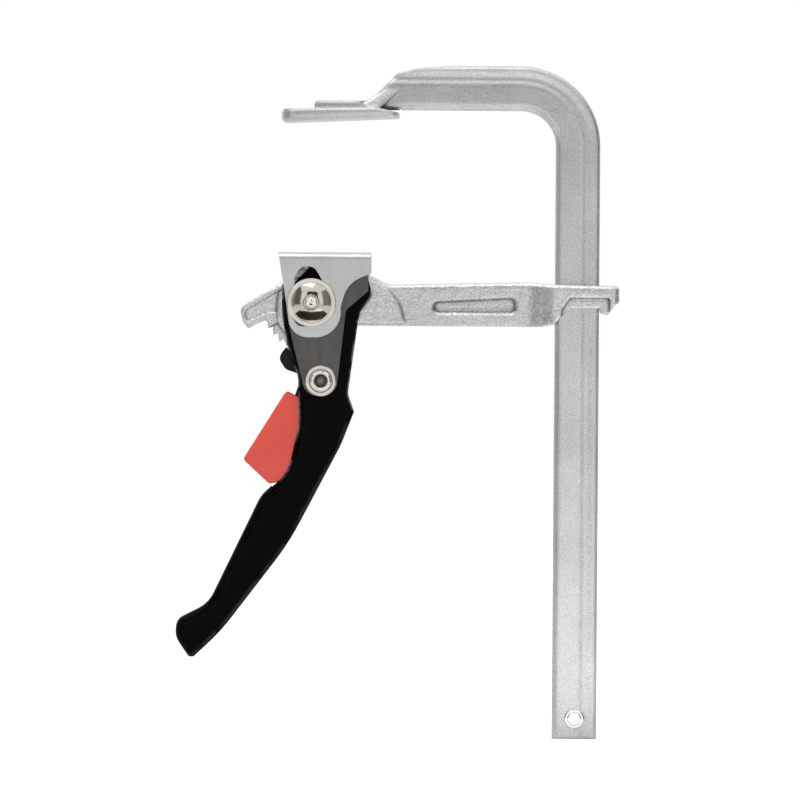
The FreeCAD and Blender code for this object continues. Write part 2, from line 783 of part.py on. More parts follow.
    # The eye: a window for the rail, and a step under the lip on both sides.
    window = rectangle(window_start, window_stop, size("rail_thickness") / 2 + gap)
    cut = new_sketch(body, "rail_window", "XY_Plane", rounded(window))
    pocket(body, cut, ARM_DEPTH_SUM)
    foot_x, knee_x, lip_x = [window_start + share * wall for share in STEP_START_SHARES]
    step_stop_x = window_stop + STEP_STOP_SHARE * wall
    under_lip = [
        (knee_x, lip_low - below / 2, 0),
        (lip_x, lip_low, crown),
        (step_stop_x, lip_low, crown),
        (step_stop_x, eye_low - wall, 0),
        (foot_x, eye_low - wall, 0),
    ]
    half_ledge = size("eye_ledge_width") / 2
    depth = half_eye - half_ledge
    for sign, side_name in ((-1, "front"), (1, "rear")):
        offset = -sign * (half_ledge + depth / 2)
        sketch = new_sketch(body, f"eye_step_{side_name}", "XZ_Plane", rounded(under_lip), offset)
        pocket(body, sketch, "eye_width / 2 - eye_ledge_width / 2")

    bore = new_sketch(body, "pivot_bore", "XZ_Plane", [])
    add_circle(bore, 0, 0, "pin_radius + pin_clearance")
    pocket(body, bore, "boss_thickness + overrun")


# Lever and cam

def cam_arcs(rise, start_deg, stop_deg, pieces):
    """A cam whose lift under a flat plate grows evenly with the lever's angle, as a run of arcs.

    The angles are measured from straight up towards the rail.
    """
    lift = size("cam_lift_per_radian")

    def place(degrees):
        angle = math.radians(degrees)
        support = rise + lift * angle
        x = support * math.sin(angle) + lift * math.cos(angle)
        z = support * math.cos(angle) - lift * math.sin(angle)
        return FreeCAD.Vector(x, z, 0)

    step = (stop_deg - start_deg) / pieces
    arcs = []
    for i in range(pieces):
        low = start_deg + i * step
        arcs.append(Part.Arc(place(low), place(low + step / 2), place(low + step)))
    return arcs, place(start_deg), place(stop_deg)


def cam_outline(rise, front_corners, back_corners):
    """The cam's run of arcs, closed by corners down the front and up the back."""
    arcs, low, high = cam_arcs(rise, -size("lever_open_deg"), size("lever_squeeze_deg"), CAM_ARC_COUNT)
    rest = [(high.x, high.y, 0)] + front_corners + back_corners + [(low.x, low.y, 0)]
    return arcs + rounded(rest, closed=False)


def make_lever():
    body = new_body("lever", pivot_x, pivot_z)
    length = size("lever_length")
    wall = size("lever_sheet")
    palm = scaled(PALM_SHARES, length)
    rail_side = scaled(RAIL_SIDE_SHARES, length)
    # The blank's own cam edge lies inside the cam plates' one.
    inner_rise = size("cam_rise") - 2 * size("cam_gap")
    outline = cam_outline(inner_rise, list(reversed(rail_side)), list(reversed(palm)))
    blank_sketch = new_sketch(body, "lever_outline", "XZ_Plane", outline)
    blank = pad(body, blank_sketch, LEVER_WIDTH_SUM)

    # The channel is bent wide on the palm side and tight on the rail side.
    web_top = palm[PALM_OPEN_COUNT]
    lip_top = rail_side[RAIL_LIP_COUNT - 1]
    tip = palm[-1]

    def on_long_edge(item, upper, is_palm):
        if not any(flat_at(item, 1, y) for y in (-flange_outer, flange_outer)):
            return False
        middle = item.valueAt((item.FirstParameter + item.LastParameter) / 2)
        chord_x = tip[0] + (upper[0] - tip[0]) * (middle.z - tip[1]) / (upper[1] - tip[1])
        return middle.z < upper[1] and (middle.x < chord_x) == is_palm

    def on_palm(item):
        return on_long_edge(item, web_top, True)

    def on_lip(item):
        return on_long_edge(item, lip_top, False)

    palm_bend = fillet(body, blank, "palm_bend", "palm_bend_radius", on_palm)
    fillet(body, palm_bend, "lip_bend", "lip_bend_radius", on_lip)

    # The hollow is open above the web and the lips, so that only the flanges are left there.
    shell = palm[PALM_OPEN_COUNT:] + rail_side[:RAIL_LIP_COUNT]
    hollow = inset(shell, wall)
    far_x = length / 4
    hollow.append((lip_top[0] + far_x, lip_top[1] + wall, 0))
    hollow.append((lip_top[0] + far_x, far_x, 0))
    hollow.append((-far_x - overrun, far_x, 0))
    hollow.append((-far_x - overrun, web_top[1] + far_x, 0))
    hollow.append((web_top[0] - wall / 2, web_top[1] + wall / 2, 0))
    hollow_sketch = new_sketch(body, "lever_hollow", "XZ_Plane", rounded(hollow))
    pocket(body, hollow_sketch, "boss_thickness + 2 * lever_side_gap")

    # A slot between the lips runs from the top of the channel to the closed knob.
    lips = rail_side[:RAIL_LIP_COUNT]
    outer = inset(lips, -overrun)
    inner = inset(lips, 2 * wall)
    close = size("knob_close") / 2
    inner[0] = (inner[0][0] + close, inner[0][1] + close, 0)
    outer[0] = (outer[0][0] + close, outer[0][1] + close, 0)
    outer[-1] = (outer[-1][0], outer[-1][1] + 2 * overrun, 0)
    inner[-1] = (inner[-1][0], inner[-1][1] + 2 * overrun, 0)
    slot = rounded(outer + list(reversed(inner)))
    pocket(body, new_sketch(body, "lip_slot_outline", "XZ_Plane", slot), "lip_slot")

    # The knob's lowest corner is cut off flat.
    flat_z = tip[1] + size("knob_flat")
    corner = [
        (tip[0] - overrun, flat_z, 0),
        (tip[0] + overrun, flat_z, 0),
        (tip[0] + overrun, tip[1] - overrun, 0),
        (tip[0] - overrun, tip[1] - overrun, 0),
    ]
    pocket(body, new_sketch(body, "knob_corner", "XZ_Plane", rounded(corner)), LEVER_WIDTH_SUM + " + overrun")

    holes = new_sketch(body, "lever_holes", "XZ_Plane", [])
    add_circle(holes, 0, 0, "pin_radius")
    add_circle(holes, size("rivet_offset"), -size("rivet_drop"), "rivet_radius")
    pocket(body, holes, LEVER_WIDTH_SUM + " + overrun")


def make_cam_plates():
    rise = size("cam_rise")
    round_foot = size("rivet_washer_radius") - size("cam_gap")
    rivet = (size("rivet_offset"), -size("rivet_drop"))
    foot = [
        (rivet[0] + round_foot, rivet[1] - round_foot, round_foot),
        (rivet[0] - round_foot, rivet[1] - round_foot, round_foot),
    ]
    front_side = list(reversed(scaled(CAM_FRONT_SHARES, rise)))
    back_side = list(reversed(scaled(CAM_BACK_SHARES, rise)))
    outline = cam_outline(rise, front_side, foot + back_side)
    middle = flange_outer + size("cam_sheet") / 2
    for name, y in (("cam_plate_front", -middle), ("cam_plate_rear", middle)):
        body = new_body(name, pivot_x, pivot_z)
        body.Placement.Base.y = y
        pad(body, new_sketch(body, name + "_outline", "XZ_Plane", outline), "cam_sheet")
        holes = new_sketch(body, name + "_holes", "XZ_Plane", [])
        add_circle(holes, 0, 0, "pin_radius")
        add_circle(holes, *rivet, "rivet_radius")
        pocket(body, holes, "cam_sheet + overrun")


def make_pressure_plate():
    body = new_body("pressure_plate", pivot_x, pivot_z)
    drop = size("ear_drop")
    top = web_under + size("plate_sheet")
    start_x = -size("plate_offset")
    stop_x = start_x + size("plate_length")
    web = [(stop_x, top, 0), (start_x, top, 0)]
    outline = scaled(EAR_FRONT_SHARES, drop) + web + scaled(EAR_BACK_SHARES, drop)
    blank = pad(body, new_sketch(body, "plate_outline", "XZ_Plane", rounded(outline)), PLATE_WIDTH_SUM)

    def on_fold(item):
        return flat_at(item, 2, top) and any(flat_at(item, 1, y) for y in (-ear_outer, ear_outer))
    fillet(body, blank, "plate_folds", "plate_bend_radius", on_fold)

    # The channel between the ears, with its corners rounded by the fold.
    inner = size("plate_inner_radius")
    low = -drop - overrun
    channel = [
        (-ear_inner, low, 0),
        (ear_inner, low, 0),
        (ear_inner, web_under, inner),
        (-ear_inner, web_under, inner),
    ]
    middle_x = (start_x + stop_x) / 2
    sketch = new_sketch(body, "plate_channel", "YZ_Plane", rounded(channel), middle_x)
    pocket(body, sketch, "plate_length + overrun")

    # Slots let the plate rise on the cam. Their heads are pointed arches.
    half = size("slot_width") / 2
    low = -size("pin_neck_radius") - plate_rise - size("cam_gap") / 2
    peak = size("slot_peak")
    mid_x = -size("slot_offset")
    foot_radius = SLOT_FOOT_SHARE * half
    slot = [(mid_x - half, low, foot_radius), (mid_x + half, low, foot_radius)]
    slot += moved(scaled(SLOT_HEAD_SHARES, half), mid_x, peak)
    pocket(body, new_sketch(body, "ear_slots", "XZ_Plane", rounded(slot)), PLATE_WIDTH_SUM + " + overrun")


def mirror_heights(points):
    """Radius and height pairs, then the same radii at the opposite heights."""
    return points + [(radius, -height, corner) for radius, height, corner in reversed(points)]


def make_main_pin():
    body = new_body("main_pin", pivot_x, pivot_z)
    tenon = size("pin_tenon_radius")
    neck = size("pin_neck_radius")
    top = cap_inner + size("cap_height") + size("cap_rim") / 2
    dimple = size("cap_rim") / 2
    turn(body, "main_pin", mirror_heights([
        (0, top - dimple, 0),
        (tenon / 2, top, 0),
        (tenon - dimple, top, 0),
        (tenon, top - dimple, 0),
        (tenon, washer_inner, 0),
        (neck, washer_inner, 0),
        (neck, cam_outer, 0),
        (size("pin_radius"), cam_outer, 0),
    ]))


def on_both_sides(name, x, z, profile):
    """Two like turned pieces, one on each side of the lever."""
    for side_name, sign in (("front", -1), ("rear", 1)):
        body = new_body(f"{name}_{side_name}", x, z)
        placed = [(radius, sign * height, corner) for radius, height, corner in profile]
        turn(body, f"{name}_{side_name}", placed)


def make_main_washers():
    edge = size("cap_rim") / 3
    radius = size("washer_radius")
    top = cap_inner
    on_both_sides("main_washer", pivot_x, pivot_z, [
        (size("pin_tenon_radius"), washer_inner, 0),
        (radius, washer_inner, 0),
        (radius, top - edge, 0),
        (radius - edge, top, 0),
        (size("pin_tenon_radius"), top, 0),
    ])


def make_main_caps():
    radius = size("cap_radius")
    boss = size("cap_boss_radius")
    top = cap_inner + size("cap_height")
    rim = cap_inner + size("cap_rim")
    on_both_sides("main_cap", pivot_x, pivot_z, [
        (size("pin_tenon_radius"), cap_inner, 0),
        (radius, cap_inner, 0),
        (radius, rim, 0),
        ((radius + boss) / 2 + size("cap_rim"), top - size("cap_rim") / 2, radius / 3),
        (boss, top - size("cap_rim") / 2, 0),
        (boss - size("cap_rim") / 2, top, 0),
        (size("pin_tenon_radius"), top, 0),
    ])


# Pawl, rivet, trigger and spring

def make_pawl_rivet():
    body = new_body("pawl_rivet", rivet_x, rivet_z)
    shank = size("rivet_radius")
    bore = size("rivet_bore_radius")
    rim = size("rivet_rim_radius")
    seat = cam_outer + size("rivet_washer_floor")
    top = seat + size("rivet_rim_height")
    roll = (rim - bore) / 3
    turn(body, "pawl_rivet", mirror_heights([
        (0, top - size("rivet_bore_depth"), 0),
        (bore, top - size("rivet_bore_depth"), 0),
        (bore, top - roll, 0),
        (bore + roll, top, 0),
        (rim - roll, top, 0),
        (rim, top - roll, 0),
        (rim, seat, 0),
        (shank, seat, 0),
    ]))


def make_rivet_washers():
    radius = size("rivet_washer_radius")
    ring = radius - size("rivet_washer_ring")
    top = cam_outer + size("rivet_washer_thickness")
    seat = cam_outer + size("rivet_washer_floor")
    edge = (top - seat) / 2
    on_both_sides("rivet_washer", rivet_x, rivet_z, [
        (size("rivet_radius"), cam_outer, 0),
        (radius, cam_outer, 0),
        (radius, top - edge, 0),
        (radius - edge, top, 0),
        (ring, top, 0),
        (ring - edge, seat, 0),
        (size("rivet_radius"), seat, 0),
    ])


def make_pawl_spacers():
    inner = size("pawl_thickness") / 2 + size("pawl_side_gap")
    radius = size("spacer_radius")
    on_both_sides("pawl_spacer", rivet_x, rivet_z, [
        (size("rivet_radius"), inner, 0),
        (radius, inner, 0),
        (radius, flange_inner, 0),
        (size("rivet_radius"), flange_inner, 0),
    ])


def pawl_corners():
    """The pawl's outline from its rivet. At rest its nose stands just clear of the tooth tips."""
    reach = size("ratchet_tip_radius") + size("tip_clearance")
    x, z = polar(reach, size("nose_deg"))
    nose = (x - size("rivet_offset"), z + size("rivet_drop"), size("nose_radius"))
    return [nose] + scaled(PAWL_SHARES, size("rivet_drop"))


def make_pawl():
    body = new_body("pawl", rivet_x, rivet_z)
    outline = rounded(pawl_corners())
    pad(body, new_sketch(body, "pawl_outline", "XZ_Plane", outline), "pawl_thickness")
    hub = new_sketch(body, "pawl_hub", "XZ_Plane", [])
    add_circle(hub, 0, 0, "pawl_hub_radius")
    pad(body, hub, "pawl_thickness")
    bore = new_sketch(body, "pawl_bores", "XZ_Plane", [])
    add_circle(bore, 0, 0, "rivet_radius + pawl_clearance")
    add_circle(bore, *trigger_pin_place(), "trigger_pin_radius")
    pocket(body, bore, "pawl_thickness + overrun")


def trigger_pin_place():
    drop = size("rivet_drop")
    return TRIGGER_PIN_SHARE_X * drop, TRIGGER_PIN_SHARE_Z * drop


def make_release_trigger():
    body = new_body("release_trigger", rivet_x, rivet_z)
    outline = scaled(TRIGGER_SHARES, size("rivet_drop"))
    blank = pad(body, new_sketch(body, "trigger_outline", "XZ_Plane", rounded(outline)), "trigger_width")
    half = size("trigger_width") / 2

    def on_rim(item):
        return any(flat_at(item, 1, y) for y in (-half, half))
    chamfer(body, blank, "trigger_bevel", "trigger_edge_bevel", on_rim)
    notch = inset(pawl_corners(), -size("trigger_fit"), closed=True)
    notch_sketch = new_sketch(body, "trigger_notch", "XZ_Plane", rounded(notch))
    pocket(body, notch_sketch, "pawl_thickness + 2 * trigger_fit")
    hole = new_sketch(body, "trigger_pin_hole", "XZ_Plane", [])
    add_circle(hole, *trigger_pin_place(), "trigger_pin_radius")
    pocket(body, hole, "pawl_thickness + 2 * trigger_fit + 2 * trigger_pin_seat")


def make_trigger_pin():
    """The pin is moulded into the trigger, so neither of its ends shows."""
    x, z = trigger_pin_place()
    body = new_body("trigger_pin", rivet_x + x, rivet_z + z)
    half = size("pawl_thickness") / 2 + size("trigger_fit") + size("trigger_pin_seat")
    turn(body, "trigger_pin", mirror_heights([(0, half, 0), (size("trigger_pin_radius"), half, 0)]))


def make_pawl_spring():
    """A torsion spring round the front spacer: one leg on the trigger, one on the lever's lip."""
    wire = size("spring_wire_radius")
    radius = size("spacer_radius") + size("spring_gap") + wire
    low = size("pawl_thickness") / 2 + size("pawl_side_gap") / 2 + wire
    high = flange_inner - size("pawl_side_gap") / 2 - wire
    start = size("spring_start_deg")
    sweep = size("spring_sweep_deg")

    def on_coil(share):
        angle = math.radians(start - sweep * share)
        return FreeCAD.Vector(radius * math.cos(angle), -low - (high - low) * share, radius * math.sin(angle))

    def heading(share):
        angle = math.radians(start - sweep * share)
        return FreeCAD.Vector(math.sin(angle), 0, -math.cos(angle))

    arcs = []
    count = math.ceil(sweep / 360 * TURN_ARC_COUNT)
    for i in range(count):
        points = [on_coil((i + step) / count) for step in (0, 0.5, 1)]
        arcs.append(Part.Arc(*points).toShape())
    leg = size("spring_leg")
    first = on_coil(0)
    last = on_coil(1)
    entry = first.sub(heading(0).multiply(leg))
    leaving = last.add(heading(1).multiply(leg))
    edges = [Part.LineSegment(entry, first).toShape()] + arcs + [Part.LineSegment(last, leaving).toShape()]
    path = Part.Wire(edges)
    section = []
    for i in range(WIRE_SIDE_COUNT + 1):
        angle = 2 * math.pi * i / WIRE_SIDE_COUNT
        section.append(entry.add(FreeCAD.Vector(wire * math.cos(angle), wire * math.sin(angle), 0)))
    ring = Part.makePolygon(section)
    feature = doc.addObject("Part::Feature", "pawl_spring")
    feature.Label = "pawl_spring"
    feature.Shape = path.makePipeShell([ring], True, False)
    feature.Placement.Base = FreeCAD.Vector(rivet_x, 0, rivet_z)


# Build and write

make_fixed_bar()
make_stop_pin()
make_sliding_arm()
make_lever()
make_cam_plates()
make_pressure_plate()
make_main_pin()
make_main_washers()
make_main_caps()
make_pawl_rivet()
make_rivet_washers()
make_pawl_spacers()
make_pawl()
make_release_trigger()
make_trigger_pin()
make_pawl_spring()
doc.recompute()

for item in doc.Objects:
    if "Invalid" in item.State or "Error" in item.State:
        raise RuntimeError(f"{item.Name} failed: {item.State}")

pieces = [item for item in doc.Objects if item.TypeId == "PartDesign::Body" or item.TypeId == "Part::Feature"]
for piece in pieces:
    if piece.Shape.isNull() or not piece.Shape.isValid():
        raise RuntimeError(f"{piece.Label} has no valid shape")

os.makedirs("parts", exist_ok=True)
for piece in pieces:
    piece.Shape.exportStep(f"parts/{piece.Label}.step")
    print(piece.Label, len(piece.Shape.Solids), round(piece.Shape.Volume, 1))
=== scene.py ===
"""Looks for the quick release bar clamp: materials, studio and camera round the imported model."""
import json
import math

import bmesh
import bpy
from mathutils import Matrix, Vector

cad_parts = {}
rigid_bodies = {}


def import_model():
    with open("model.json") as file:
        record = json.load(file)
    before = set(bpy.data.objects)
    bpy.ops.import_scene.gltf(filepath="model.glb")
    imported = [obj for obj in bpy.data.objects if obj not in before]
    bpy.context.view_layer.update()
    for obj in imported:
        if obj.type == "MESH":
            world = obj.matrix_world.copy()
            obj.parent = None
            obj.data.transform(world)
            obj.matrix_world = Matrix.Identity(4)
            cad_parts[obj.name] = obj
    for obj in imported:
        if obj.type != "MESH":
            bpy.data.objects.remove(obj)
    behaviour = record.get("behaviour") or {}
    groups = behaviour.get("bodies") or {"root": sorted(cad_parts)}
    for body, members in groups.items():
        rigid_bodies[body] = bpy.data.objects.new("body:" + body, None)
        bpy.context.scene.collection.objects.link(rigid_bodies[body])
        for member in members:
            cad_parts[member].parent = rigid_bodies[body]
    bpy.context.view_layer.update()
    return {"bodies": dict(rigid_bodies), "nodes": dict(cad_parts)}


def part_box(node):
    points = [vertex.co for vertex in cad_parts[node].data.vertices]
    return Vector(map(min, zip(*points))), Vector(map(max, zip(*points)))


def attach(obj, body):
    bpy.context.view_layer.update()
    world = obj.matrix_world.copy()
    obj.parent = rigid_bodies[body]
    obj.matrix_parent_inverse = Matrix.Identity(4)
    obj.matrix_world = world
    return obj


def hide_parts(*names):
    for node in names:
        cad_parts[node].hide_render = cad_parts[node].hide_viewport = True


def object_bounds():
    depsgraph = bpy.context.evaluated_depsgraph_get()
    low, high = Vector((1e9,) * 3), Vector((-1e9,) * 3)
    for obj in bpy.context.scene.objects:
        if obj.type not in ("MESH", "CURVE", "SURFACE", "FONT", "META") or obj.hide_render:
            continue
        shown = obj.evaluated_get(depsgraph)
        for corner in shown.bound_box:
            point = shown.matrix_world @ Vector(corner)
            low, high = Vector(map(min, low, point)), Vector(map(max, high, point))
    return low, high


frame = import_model()
nodes = frame["nodes"]

# The photograph: its size in pixels, metres to a pixel, and the pixel of the model's origin.
PHOTO_PX = 800
METRES_PER_PX = 0.00043
ORIGIN_PX = (340.0, 119.8)
CAMERA_DISTANCE = 3.0
CAMERA_ROLL_DEG = 0.42
CAMERA_SHIFT_PX = (1.3, 0.8)
CAMERA_CLIP = (0.05, 50)
SENSOR_WIDTH = 36.0

# Samples of the bevel and hollow-corner nodes, which are read at each hit.
SOFT_SAMPLES = 6
EDGE_SAMPLES = 4

# Edges that turn by more than this stay sharp in the pieces that are made here.
SHARP_DEG = 40

# Painted shade: what shows of the cam through the plate's slot is painted black as the slot's shade: the
# middle of that spot, and its reach.
SLOT_SHADE_SPOT = ((-0.0129, -0.010, -0.0667), 0.0085)

# The black of the painted shade in the plate's slot.
SHADE_BLACK = (0.004, 0.004, 0.004)


# Materials

class Shader:
    """A material's node tree, with short ways to add its nodes."""

    def __init__(self, name, **settings):
        self.material = bpy.data.materials.new(name)
        self.material.use_nodes = True
        self.tree = self.material.node_tree
        self.surface = self.tree.nodes["Principled BSDF"]
        for setting, value in settings.items():
            socket = setting.replace("_", " ").title().replace("Ior", "IOR")
            self.surface.inputs[socket].default_value = value
        self.place = self.add("ShaderNodeTexCoord").outputs["Object"]

    def add(self, kind, **settings):
        node = self.tree.nodes.new(kind)
        for key, value in settings.items():
            setattr(node, key, value)
        return node

    def link(self, output, socket):
        self.tree.links.new(output, socket)

    def stretched(self, scale):
        mapping = self.add("ShaderNodeMapping")
        mapping.inputs["Scale"].default_value = scale
        self.link(self.place, mapping.inputs["Vector"])
        return mapping.outputs["Vector"]

    def noise(self, scale, detail=3.0, roughness=0.5, vector=None):
        node = self.add("ShaderNodeTexNoise")
        node.inputs["Scale"].default_value = scale
        node.inputs["Detail"].default_value = detail
        node.inputs["Roughness"].default_value = roughness
        self.link(vector or self.place, node.inputs["Vector"])
        return node.outputs["Fac"]

    def cells(self, scale, feature="F1"):
        node = self.add("ShaderNodeTexVoronoi", feature=feature)
        node.inputs["Scale"].default_value = scale
        self.link(self.place, node.inputs["Vector"])
        return node

    def ramp(self, value, *stops):
        """A colour or grey value from stops of position and colour."""
        node = self.add("ShaderNodeValToRGB")
        elements = node.color_ramp.elements
        while len(elements) < len(stops):
            elements.new(0.5)
        for element, (position, colour) in zip(elements, stops):
            element.position = position
            grey = (colour, colour, colour, 1.0)
            element.color = grey if isinstance(colour, float) else (*colour, 1.0)
        self.link(value, node.inputs["Fac"])
        return node.outputs["Color"]

    def blend(self, mode, factor, first, second):
        node = self.add("ShaderNodeMix", data_type="RGBA", blend_type=mode)
        # The colour sockets of this node stand behind its number and vector sockets.
        sockets = (node.inputs[0], node.inputs[6], node.inputs[7])
        for socket, value in zip(sockets, (factor, first, second)):
            if isinstance(value, bpy.types.NodeSocket):
                self.link(value, socket)
            elif isinstance(value, float):
                socket.default_value = value
            else:
                socket.default_value = (*value, 1.0)
        return node.outputs[2]

    def soft_normal(self, radius):
        """The normal of a surface whose edges are rounded by radius."""
        bevel = self.add("ShaderNodeBevel", samples=SOFT_SAMPLES)
        bevel.inputs["Radius"].default_value = radius
        return bevel.outputs["Normal"]

    def bump(self, height, strength, distance, below=None):
        node = self.add("ShaderNodeBump")
        node.inputs["Strength"].default_value = strength
        node.inputs["Distance"].default_value = distance
        self.link(height, node.inputs["Height"])
        if below is not None:
            self.link(below, node.inputs["Normal"])
        self.link(node.outputs["Normal"], self.surface.inputs["Normal"])
        return node.outputs["Normal"]

    def edges(self, radius):
        """White on edges that stand out and on those that lie in, black on flats."""
        bevel = self.add("ShaderNodeBevel", samples=EDGE_SAMPLES)
        bevel.inputs["Radius"].default_value = radius
        geometry = self.add("ShaderNodeNewGeometry")
        dot = self.add("ShaderNodeVectorMath", operation="DOT_PRODUCT")
        self.link(bevel.outputs["Normal"], dot.inputs[0])
        self.link(geometry.outputs["Normal"], dot.inputs[1])
        return self.ramp(dot.outputs["Value"], (0.80, 1.0), (0.995, 0.0))

    def painted_crease_shade(self, distance, dark):
        """A mask of painted shade: white on open faces, down to dark in the piece's own hollow corners.
        """
        shade = self.add("ShaderNodeAmbientOcclusion", samples=SOFT_SAMPLES, only_local=True)
        shade.inputs["Distance"].default_value = distance
        return self.ramp(shade.outputs["AO"], (0.52, dark), (0.90, 1.0))

    def spot(self, centre, reach):
        """White within reach of centre, fading out to black a little farther on."""
        fade = 1.5
        away = self.add("ShaderNodeVectorMath", operation="DISTANCE")
        self.link(self.place, away.inputs[0])
        away.inputs[1].default_value = centre
        share = self.add("ShaderNodeMath", operation="DIVIDE")
        self.link(away.outputs["Value"], share.inputs[0])
        share.inputs[1].default_value = fade * reach
        return self.ramp(share.outputs[0], (0.67, 1.0), (1.0, 0.0))

    def colour(self, output):
        self.link(output, self.surface.inputs["Base Color"])

    def roughness(self, value, *stops):
        self.link(self.ramp(value, *stops), self.surface.inputs["Roughness"])


def zinc(name, base, grain, roughness=(0.30, 0.48), bump=0.25, mottle=0.15,
         speckle=(0.36, 0.80), soft=0.0004, corner_shade=(0.0016, 0.45)):
    """Zinc plated steel: satin, with a fine grain, uneven patches, soft edges and painted shade in its
    hollow corners.

    The grain is a noise scale, bump and mottle are strengths, speckle is the grain's lower ramp stop
    with its grey, soft is the radius of soft edges, and the last is the reach and darkest grey of the
    painted shade in hollow corners.
    """
    shader = Shader(name, metallic=1.0)
    clouds = shader.ramp(shader.noise(38, 4, 0.6), (0.32, 0.88), (0.68, 1.0))
    grains = shader.ramp(shader.noise(grain, 3, 0.8), speckle, (1.0 - speckle[0], 1.0))
    tint = shader.blend("MULTIPLY", 1.0, base, clouds)
    tint = shader.blend("MULTIPLY", 1.0, tint, grains)
    # Painted shade: the colour is darkened in the piece's own hollow corners.
    shader.colour(shader.blend("MULTIPLY", 1.0, tint, shader.painted_crease_shade(*corner_shade)))
    coarser = 0.6 * grain
    shader.roughness(shader.noise(coarser, 3, 0.6), (0.30, roughness[0]), (0.70, roughness[1]))
    patches = shader.bump(shader.noise(300, 4, 0.65), mottle, 0.0006, shader.soft_normal(soft))
    shader.bump(shader.noise(grain, 2, 0.7), bump, 0.00015, patches)
    return shader.material


def polished(name, low=(0.80, 0.765, 0.705), high=(0.87, 0.845, 0.80), corner_shade=(0.0030, 0.10)):
    """Bright nickel with a faint warm cast, hairline marks and painted shade in its hollow corners."""
    shader = Shader(name, metallic=1.0)
    clouds = shader.ramp(shader.noise(160, 3), (0.3, low), (0.7, high))
    # Painted shade: the colour is darkened in the piece's own hollow corners.
    shader.colour(shader.blend("MULTIPLY", 1.0, clouds, shader.painted_crease_shade(*corner_shade)))
    lines = shader.noise(900, 2, 0.5, shader.stretched((1, 12, 1)))
    shader.roughness(lines, (0.3, 0.07), (0.8, 0.15))
    waves = shader.bump(shader.noise(190, 2, 0.5), 0.10, 0.0004, shader.soft_normal(0.00025))
    shader.bump(lines, 0.02, 0.0001, waves)
    return shader.material


def dark_steel(name, low, high, shade_spot=None):
    """Oiled dark steel: streaks along the sheet, a few stains and, where asked, a black spot of painted
    shade.
    """
    shader = Shader(name, metallic=1.0)
    streaks = shader.noise(150, 4, 0.6, shader.stretched((2.5, 1, 0.5)))
    tone = shader.ramp(streaks, (0.30, low), (0.70, high))
    stains = shader.ramp(shader.noise(75, 5, 0.65), (0.40, 0.86), (0.60, 1.0))
    tint = shader.blend("MULTIPLY", 1.0, tone, stains)
    # Painted shade: where asked, a spot is painted black.
    if shade_spot:
        tint = shader.blend("MIX", shader.spot(*shade_spot), tint, SHADE_BLACK)
    shader.colour(tint)
    shader.roughness(shader.noise(420, 3, 0.6), (0.3, 0.30), (0.7, 0.46))
    shader.bump(shader.noise(1500, 2, 0.6), 0.12, 0.0001, shader.soft_normal(0.0003))
    return shader.material


def black_enamel(name):
    """Gloss black paint: a faint orange peel, a few dust nibs and a painted highlight, light grey in
    patches along its rims.
    """
    shader = Shader(name, ior=1.12)
    nibs = shader.ramp(shader.cells(650).outputs["Distance"], (0.03, 1.0), (0.055, 0.0))
    patches = shader.ramp(shader.noise(55, 3, 0.6), (0.56, 0.0), (0.68, 1.0))
    flecks = shader.blend("MULTIPLY", 1.0, nibs, patches)
    tint = shader.blend("MIX", flecks, (0.0013, 0.0013, 0.0014), (0.03, 0.03, 0.031))
    # Painted highlight: the rims are painted light grey in patches, where they would catch the light.
    highlight_patches = shader.ramp(shader.noise(110, 3, 0.6), (0.40, 0.0), (0.58, 1.0))
    rims = shader.blend("MULTIPLY", 1.0, shader.edges(0.0016), highlight_patches)
    shader.colour(shader.blend("MIX", rims, tint, (0.30, 0.30, 0.31)))
    shader.roughness(shader.noise(160, 4, 0.6), (0.3, 0.10), (0.7, 0.20))
    peel = shader.bump(shader.noise(420, 2, 0.5), 0.10, 0.0002, shader.soft_normal(0.0005))
    shader.bump(nibs, 0.20, 0.0001, peel)
    return shader.material


def red_plastic(name):
    """Moulded red plastic, with a painted highlight that makes its edges a lighter orange."""
    shader = Shader(name, ior=1.46, subsurface_weight=0.12, subsurface_scale=0.002)
    deep, bright = (0.74, 0.078, 0.056), (0.80, 0.092, 0.066)
    body = shader.ramp(shader.noise(60, 3, 0.5), (0.3, deep), (0.7, bright))
    # Painted highlight: the edges are painted a lighter orange.
    shader.colour(shader.blend("MIX", shader.edges(0.0010), body, (0.90, 0.19, 0.10)))
    shader.roughness(shader.noise(500, 3, 0.6), (0.3, 0.28), (0.7, 0.40))
    shader.surface.inputs["Subsurface Radius"].default_value = (1.0, 0.25, 0.12)
    shader.bump(shader.noise(700, 2, 0.5), 0.05, 0.0001, shader.soft_normal(0.0006))
    return shader.material


